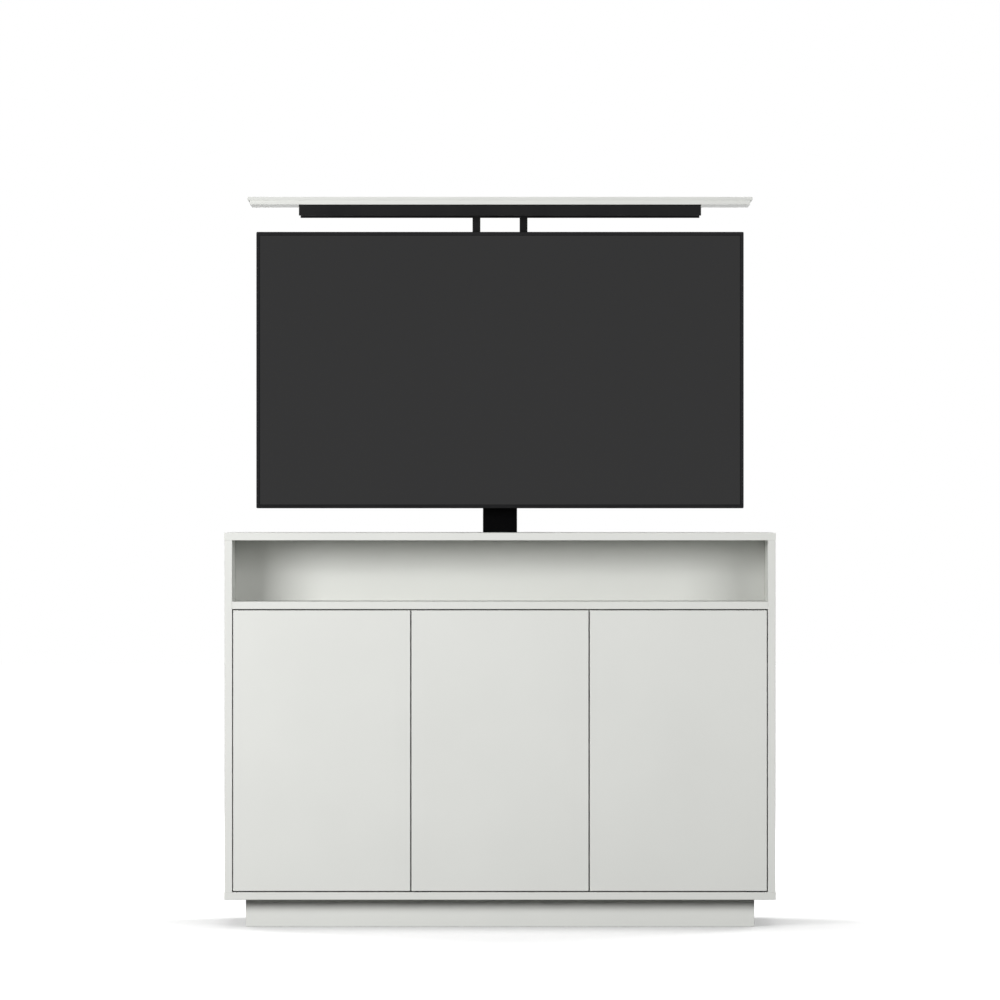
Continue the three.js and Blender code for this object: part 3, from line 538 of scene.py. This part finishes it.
low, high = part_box("tv_electronics_cover")
foot = housingPlan["foot"] * mm
housing = addBlock("tv_electronics_shell", low, (high.x, low.y + foot, high.z))
pickFaces(housing, facesBack)
bpy.ops.mesh.inset(thickness=housingPlan["slope"] * mm, depth=high.y - low.y - foot)
leaveEdit()
pickEdges(housing, lambda a, b: abs(a.y - b.y) > hair)
roundPicked(housingPlan["corner"] * mm, segments=10)
pickEdges(housing, lambda a, b: min(a.y, b.y) > high.y - hair)
roundPicked(housingPlan["edge"] * mm, segments=4)

slotTop = high.z - housingPlan["slotDrop"] * mm
halfWide = housingPlan["slotWide"] * mm / 2
slotLow = (-halfWide, high.y - housingPlan["slotDeep"] * mm, slotTop - housingPlan["slotLong"] * mm)
airSlot = addBlock("airSlot", slotLow, (halfWide, high.y + housingPlan["slotPast"] * mm, slotTop))
pickEdges(airSlot, runsAlong(alongY))
roundPicked(halfWide * housingPlan["slotRound"], segments=6)
airSlots = []
for i in range(housingPlan["slotCount"]):
    x = (i - (housingPlan["slotCount"] - 1) / 2) * housingPlan["slotPitch"] * mm
    airSlots.append(copyPiece(airSlot, f"airSlot{i}", Matrix.Translation((x, 0, 0))))
bpy.data.objects.remove(airSlot)
cutAway(housing, [joinPieces(airSlots)])
finishPiece(housing, "carriage", "black_plastic")
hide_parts("tv_electronics_cover")
print("stage: back of the television")


# Fasteners, modelled once each at the origin with the head towards +Z, then copied to their places
screwPlan = {"head": 3.6, "sides": 24, "rise": 0.8, "edge": 0.3, "cross": 3.6, "crossWide": 0.8,
             "crossDeep": 0.6}


def makeScrewHead():
    crown = screwPlan["rise"] * mm
    head = addRod("screwHead", screwPlan["head"] * mm, (0, 0, 0), (0, 0, crown), screwPlan["sides"])
    roundTop(head, crown, screwPlan["edge"] * mm, segments=3)
    half = screwPlan["crossWide"] * mm / 2
    reach = screwPlan["cross"] * mm / 2
    ground = (screwPlan["rise"] - screwPlan["crossDeep"]) * mm
    bars = []
    for x, y in ((reach, half), (half, reach)):
        bars.append(addBlock("bar", (-x, -y, ground), (x, y, 2 * crown)))
    cutAway(head, bars)
    return head


# Hexagon bolt on a washer. "flats" is the distance from its middle to a flat.
boltPlan = {"washer": 6.5, "washerSides": 28, "washerThick": 1.4, "washerEdge": 0.3,
            "flats": 5.0, "sides": 6, "headHigh": 4.0, "edge": 0.5}


def makeBoltHead():
    seat = boltPlan["washerThick"] * mm
    crown = (boltPlan["washerThick"] + boltPlan["headHigh"]) * mm
    washer = addRod("washer", boltPlan["washer"] * mm, (0, 0, 0), (0, 0, seat), boltPlan["washerSides"])
    roundTop(washer, seat, boltPlan["washerEdge"] * mm, segments=2)
    radius = boltPlan["flats"] / math.cos(math.pi / boltPlan["sides"]) * mm
    head = addRod("boltHead", radius, (0, 0, seat), (0, 0, crown), boltPlan["sides"])
    roundTop(head, crown, boltPlan["edge"] * mm, segments=2)
    return joinPieces([head, washer])


screwHead = makeScrewHead()
boltHead = makeBoltHead()
towards = {
    "up": Matrix.Identity(4),
    "down": Matrix.Rotation(math.radians(180), 4, "X"),
    "back": Matrix.Rotation(math.radians(-90), 4, "X"),
    "right": Matrix.Rotation(math.radians(90), 4, "Y"),
    "left": Matrix.Rotation(math.radians(-90), 4, "Y"),
}


def placeFastener(pattern, name, at, facing, body, slot, material=None):
    piece = copyPiece(pattern, name, Matrix.Translation(Vector(at)) @ towards[facing])
    finishPiece(piece, body, slot, material)


# Even places from end to end, the outer ones the inset away from the ends
def spread(low, high, inset, count):
    return [low + inset + (high - low - 2 * inset) * i / (count - 1) for i in range(count)]


# Back panel screws: a row along each edge, heads on the rear face
backScrews = {"inset": 9.5, "columns": 6, "rows": 4}
low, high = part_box("back_panel")
inset = backScrews["inset"] * mm
for i, x in enumerate(spread(low.x, high.x, inset, backScrews["columns"])):
    for j, z in enumerate(spread(low.z, high.z, inset, backScrews["rows"])):
        if i in (0, backScrews["columns"] - 1) or j in (0, backScrews["rows"] - 1):
            placeFastener(screwHead, f"back_screw_{i}_{j}", (x, high.y, z), "back", "cabinet", "zinc_steel")

# Back cover screws: small black ones along the upper and the lower rim of the television
coverScrews = {"inset": 24, "columns": 6}
low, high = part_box("tv_back_cover")
inset = coverScrews["inset"] * mm
for i, x in enumerate(spread(low.x, high.x, inset, coverScrews["columns"])):
    for edge, z in (("low", low.z + inset), ("high", high.z - inset)):
        name = f"cover_screw_{edge}_{i}"
        placeFastener(screwHead, name, (x, high.y, z), "back", "carriage", "black_steel")

# Bolts: two through the slots of each rail into the television, and two through each end of the
# bracket's arms into the rail
railBolts = {"web": 2.5, "armRise": 18, "armPlate": 4, "mountRise": 96}
for side in ("left", "right"):
    low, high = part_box(f"tv_rail_{side}")
    x = (low.x + high.x) / 2
    level = (low.z + high.z) / 2
    for end, sign in (("low", -1), ("high", 1)):
        at = (x, high.y + railBolts["armPlate"] * mm, level + sign * railBolts["armRise"] * mm)
        placeFastener(boltHead, f"arm_bolt_{side}_{end}", at, "back", "carriage", "zinc_steel")
        at = (x, low.y + railBolts["web"] * mm, level + sign * railBolts["mountRise"] * mm)
        placeFastener(boltHead, f"mount_bolt_{side}_{end}", at, "back", "carriage", "zinc_steel")

# Foot plate bolts, one over each of its four holes
footBolts = {"plate": 8, "inset": 16}
low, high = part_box("lift_base_plate")
inset = footBolts["inset"] * mm
for i, x in enumerate((low.x + inset, high.x - inset)):
    for j, y in enumerate((low.y + inset, high.y - inset)):
        at = (x, y, low.z + footBolts["plate"] * mm)
        placeFastener(boltHead, f"foot_bolt_{i}_{j}", at, "up", "cabinet", "zinc_steel")

# Lid screws: black ones up through the channel's web, and four through the plate of the posts
lidScrews = {"places": (-470, -290, -130, 130, 290, 470), "plateInset": 9}
low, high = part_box("lid_tray")
webUnder = high.z - trayPlan["wall"] * mm
for i, x in enumerate(lidScrews["places"]):
    at = (x * mm, (low.y + high.y) / 2, webUnder)
    placeFastener(screwHead, f"lid_screw_{i}", at, "down", "carriage", "black_steel")
low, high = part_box("lid_tray_plate")
inset = lidScrews["plateInset"] * mm
for i, x in enumerate((low.x + inset, high.x - inset)):
    for j, y in enumerate((low.y + inset, high.y - inset)):
        name = f"post_plate_screw_{i}_{j}"
        placeFastener(screwHead, name, (x, y, low.z), "down", "carriage", "black_steel")

# Pivot plate screws, countersunk so that they clear the door, and the screws in the latches' ears
smallScrews = {"inboard": (21, 34), "plate": 2, "flush": 0.4, "earInset": 3, "earDeep": 11, "ear": 2.5,
               "earShrink": 0.72}
flushHead = copyPiece(screwHead, "flushHead", Matrix.Scale(smallScrews["flush"], 4, (0, 0, 1)))
earHead = copyPiece(screwHead, "earHead", Matrix.Scale(smallScrews["earShrink"], 4))
plate = smallScrews["plate"] * mm
inset = smallScrews["earInset"] * mm
for door, inboard in (("left", 1), ("middle", 1), ("right", -1)):
    for end, facing in (("lower", "up"), ("upper", "down")):
        low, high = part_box(f"door_{door}_{end}_pivot")
        z = low.z + plate if end == "lower" else high.z - plate
        for i, along in enumerate(smallScrews["inboard"]):
            at = ((low.x if inboard > 0 else high.x) + inboard * along * mm, (low.y + high.y) / 2, z)
            name = f"pivot_screw_{door}_{end}_{i}"
            placeFastener(flushHead, name, at, facing, "cabinet", "zinc_steel", blackZinc)
    low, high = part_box(f"door_{door}_latch")
    for i, x in enumerate((low.x + inset, high.x - inset)):
        at = (x, high.y - smallScrews["earDeep"] * mm, high.z - smallScrews["ear"] * mm)
        placeFastener(earHead, f"latch_screw_{door}_{i}", at, "down", "cabinet", "zinc_steel")

# Shelf pins: four under each loose shelf, a collar against the board and a round pin with a domed end
pinPlan = {"pin": 2.5, "pinSides": 20, "long": 9, "dome": 1.2, "collar": 4, "collarSides": 24,
           "collarThick": 1, "collarEdge": 0.3, "fromEdge": 35}


def makeShelfPin():
    tip = pinPlan["long"] * mm
    pin = addRod("shelfPin", pinPlan["pin"] * mm, (0, 0, 0), (0, 0, tip), pinPlan["pinSides"])
    roundTop(pin, tip, pinPlan["dome"] * mm, segments=3)
    rim = pinPlan["collarThick"] * mm
    collar = addRod("collar", pinPlan["collar"] * mm, (0, 0, 0), (0, 0, rim), pinPlan["collarSides"])
    roundTop(collar, rim, pinPlan["collarEdge"] * mm, segments=2)
    return joinPieces([pin, collar])


shelfPin = makeShelfPin()
walls = {"left": ("side_panel_left", "divider_left"), "middle": ("divider_left", "divider_right"),
         "right": ("divider_right", "side_panel_right")}
inset = pinPlan["fromEdge"] * mm
for bay, (leftWall, rightWall) in walls.items():
    low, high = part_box(f"inner_shelf_{bay}")
    z = low.z - pinPlan["pin"] * mm
    ends = (("left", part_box(leftWall)[1].x, "right"), ("right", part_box(rightWall)[0].x, "left"))
    for end, x, facing in ends:
        for row, y in (("front", low.y + inset), ("rear", high.y - inset)):
            name = f"shelf_pin_{bay}_{end}_{row}"
            placeFastener(shelfPin, name, (x, y, z), facing, "cabinet", "zinc_steel")
print("stage: fasteners")
for pattern in (screwHead, flushHead, earHead, boltHead, shelfPin):
    bpy.data.objects.remove(pattern)


# Studio: two soft boxes in front, two behind and one overhead, and a low one behind that faces up and
# lights the lid from below. Places and sizes are in metres, power in watts. All but the low one face the
# middle. Only the overhead one shows in reflections, as the screen and the top would mirror the others
# as white patches.
middle = (0, 0, 0.9)
lampPlan = {
    "frontLeft": {"place": (-2.72, -3.85, 1.72), "size": (2.03, 1.53), "power": 173},
    "frontRight": {"place": (3.41, -5.05, 1.97), "size": (2.7, 2.04), "power": 162},
    "rearLeft": {"place": (-3.4, 3.6, 2.6), "size": (2.4, 2.2), "power": 160},
    "rearRight": {"place": (3.4, 3.6, 2.6), "size": (2.4, 2.2), "power": 160},
    "overhead": {"place": (0, 0.9, 4.2), "size": (3.0, 1.4), "power": 45},
    "underLid": {"place": (0, 0.75, 1.0), "size": (1.6, 0.2), "power": 7.5, "aim": (0, 0.75, 2.0)},
}
for name, plan in lampPlan.items():
    lampData = bpy.data.lights.new(f"softBox_{name}", "AREA")
    lampData.shape = "RECTANGLE"
    lampData.size, lampData.size_y = plan["size"]
    lampData.energy = plan["power"]
    lamp = bpy.data.objects.new(f"softBox_{name}", lampData)
    bpy.context.scene.collection.objects.link(lamp)
    lamp.location = plan["place"]
    towardsAim = Vector(plan.get("aim", middle)) - lamp.location
    lamp.rotation_euler = towardsAim.to_track_quat("-Z", "Y").to_euler()
    lamp.visible_camera = False
    lamp.visible_glossy = name == "overhead"


def addMaximum(tree, first, second):
    larger = addNode(tree, "ShaderNodeMath", {"operation": "MAXIMUM"})
    tree.links.new(first, larger.inputs[0])
    tree.links.new(second, larger.inputs[1])
    return larger.outputs[0]


# One for a ray from the camera, through glass or off a shiny surface, otherwise nothing
def findSeenRays(tree):
    rays = addNode(tree, "ShaderNodeLightPath").outputs
    direct = addMaximum(tree, rays["Is Camera Ray"], rays["Is Transmission Ray"])
    return addMaximum(tree, direct, rays["Is Glossy Ray"])


# World: white where the camera, glass or a reflection looks past the object, and dark as a light
worldPlan = {"tone": "#ffffff", "light": 0.008}
world = bpy.data.worlds.new("studio")
bpy.context.scene.world = world
world.use_nodes = True
tree = world.node_tree
background = tree.nodes["Background"]
background.inputs["Color"].default_value = toLinear(worldPlan["tone"])
light = addNode(tree, "ShaderNodeValue")
light.outputs[0].default_value = worldPlan["light"]
strength = addMaximum(tree, findSeenRays(tree), light.outputs[0])
tree.links.new(strength, background.inputs["Strength"])

# Floor: white paper whose glow is darkened by ambient occlusion, a painted shade close to the plinth, while
# the lamps' real shadows show in its matt part. It glows a little near the object and
# fully far from it, so that it meets the white behind it, and it sends little light back up.
floorPlan = {"size": 60, "reach": 0.3, "nearGlow": 0.4, "farGlow": 1.04, "near": 1.3, "far": 3.5,
             "paper": "#e6e6e6", "paperBounce": "#595959"}
deselectAll()
bpy.ops.mesh.primitive_plane_add(size=floorPlan["size"], location=(0, 0, 0))
floor = bpy.context.object
floor.name = "studioFloor"
paper = bpy.data.materials.new("studioPaper")
paper.use_nodes = True
tree = paper.node_tree
tree.nodes.clear()
where = addNode(tree, "ShaderNodeTexCoord").outputs["Object"]
away = addNode(tree, "ShaderNodeVectorMath", {"operation": "LENGTH"}, {"Vector": where})
span = {"From Min": floorPlan["near"], "From Max": floorPlan["far"],
        "To Min": floorPlan["nearGlow"], "To Max": floorPlan["farGlow"]}
level = addNode(tree, "ShaderNodeMapRange", span, {"Value": away.outputs["Value"]})
# Ambient occlusion darkens the glow near the object: painted shade
paintedShade = addNode(tree, "ShaderNodeAmbientOcclusion", {"samples": 8, "Distance": floorPlan["reach"]})
glow = addNode(tree, "ShaderNodeEmission",
               links={"Color": paintedShade.outputs["Color"], "Strength": level.outputs["Result"]})
matt = addNode(tree, "ShaderNodeBsdfDiffuse", {"Color": toLinear(floorPlan["paper"])})
bounce = addNode(tree, "ShaderNodeBsdfDiffuse", {"Color": toLinear(floorPlan["paperBounce"])})
both = addNode(tree, "ShaderNodeAddShader")
tree.links.new(glow.outputs[0], both.inputs[0])
tree.links.new(matt.outputs[0], both.inputs[1])
choice = addNode(tree, "ShaderNodeMixShader", links={"Fac": findSeenRays(tree)})
tree.links.new(bounce.outputs[0], choice.inputs[1])
tree.links.new(both.outputs[0], choice.inputs[2])
addNode(tree, "ShaderNodeOutputMaterial", links={"Surface": choice.outputs[0]})
floor.data.materials.append(paper)
print("stage: studio")
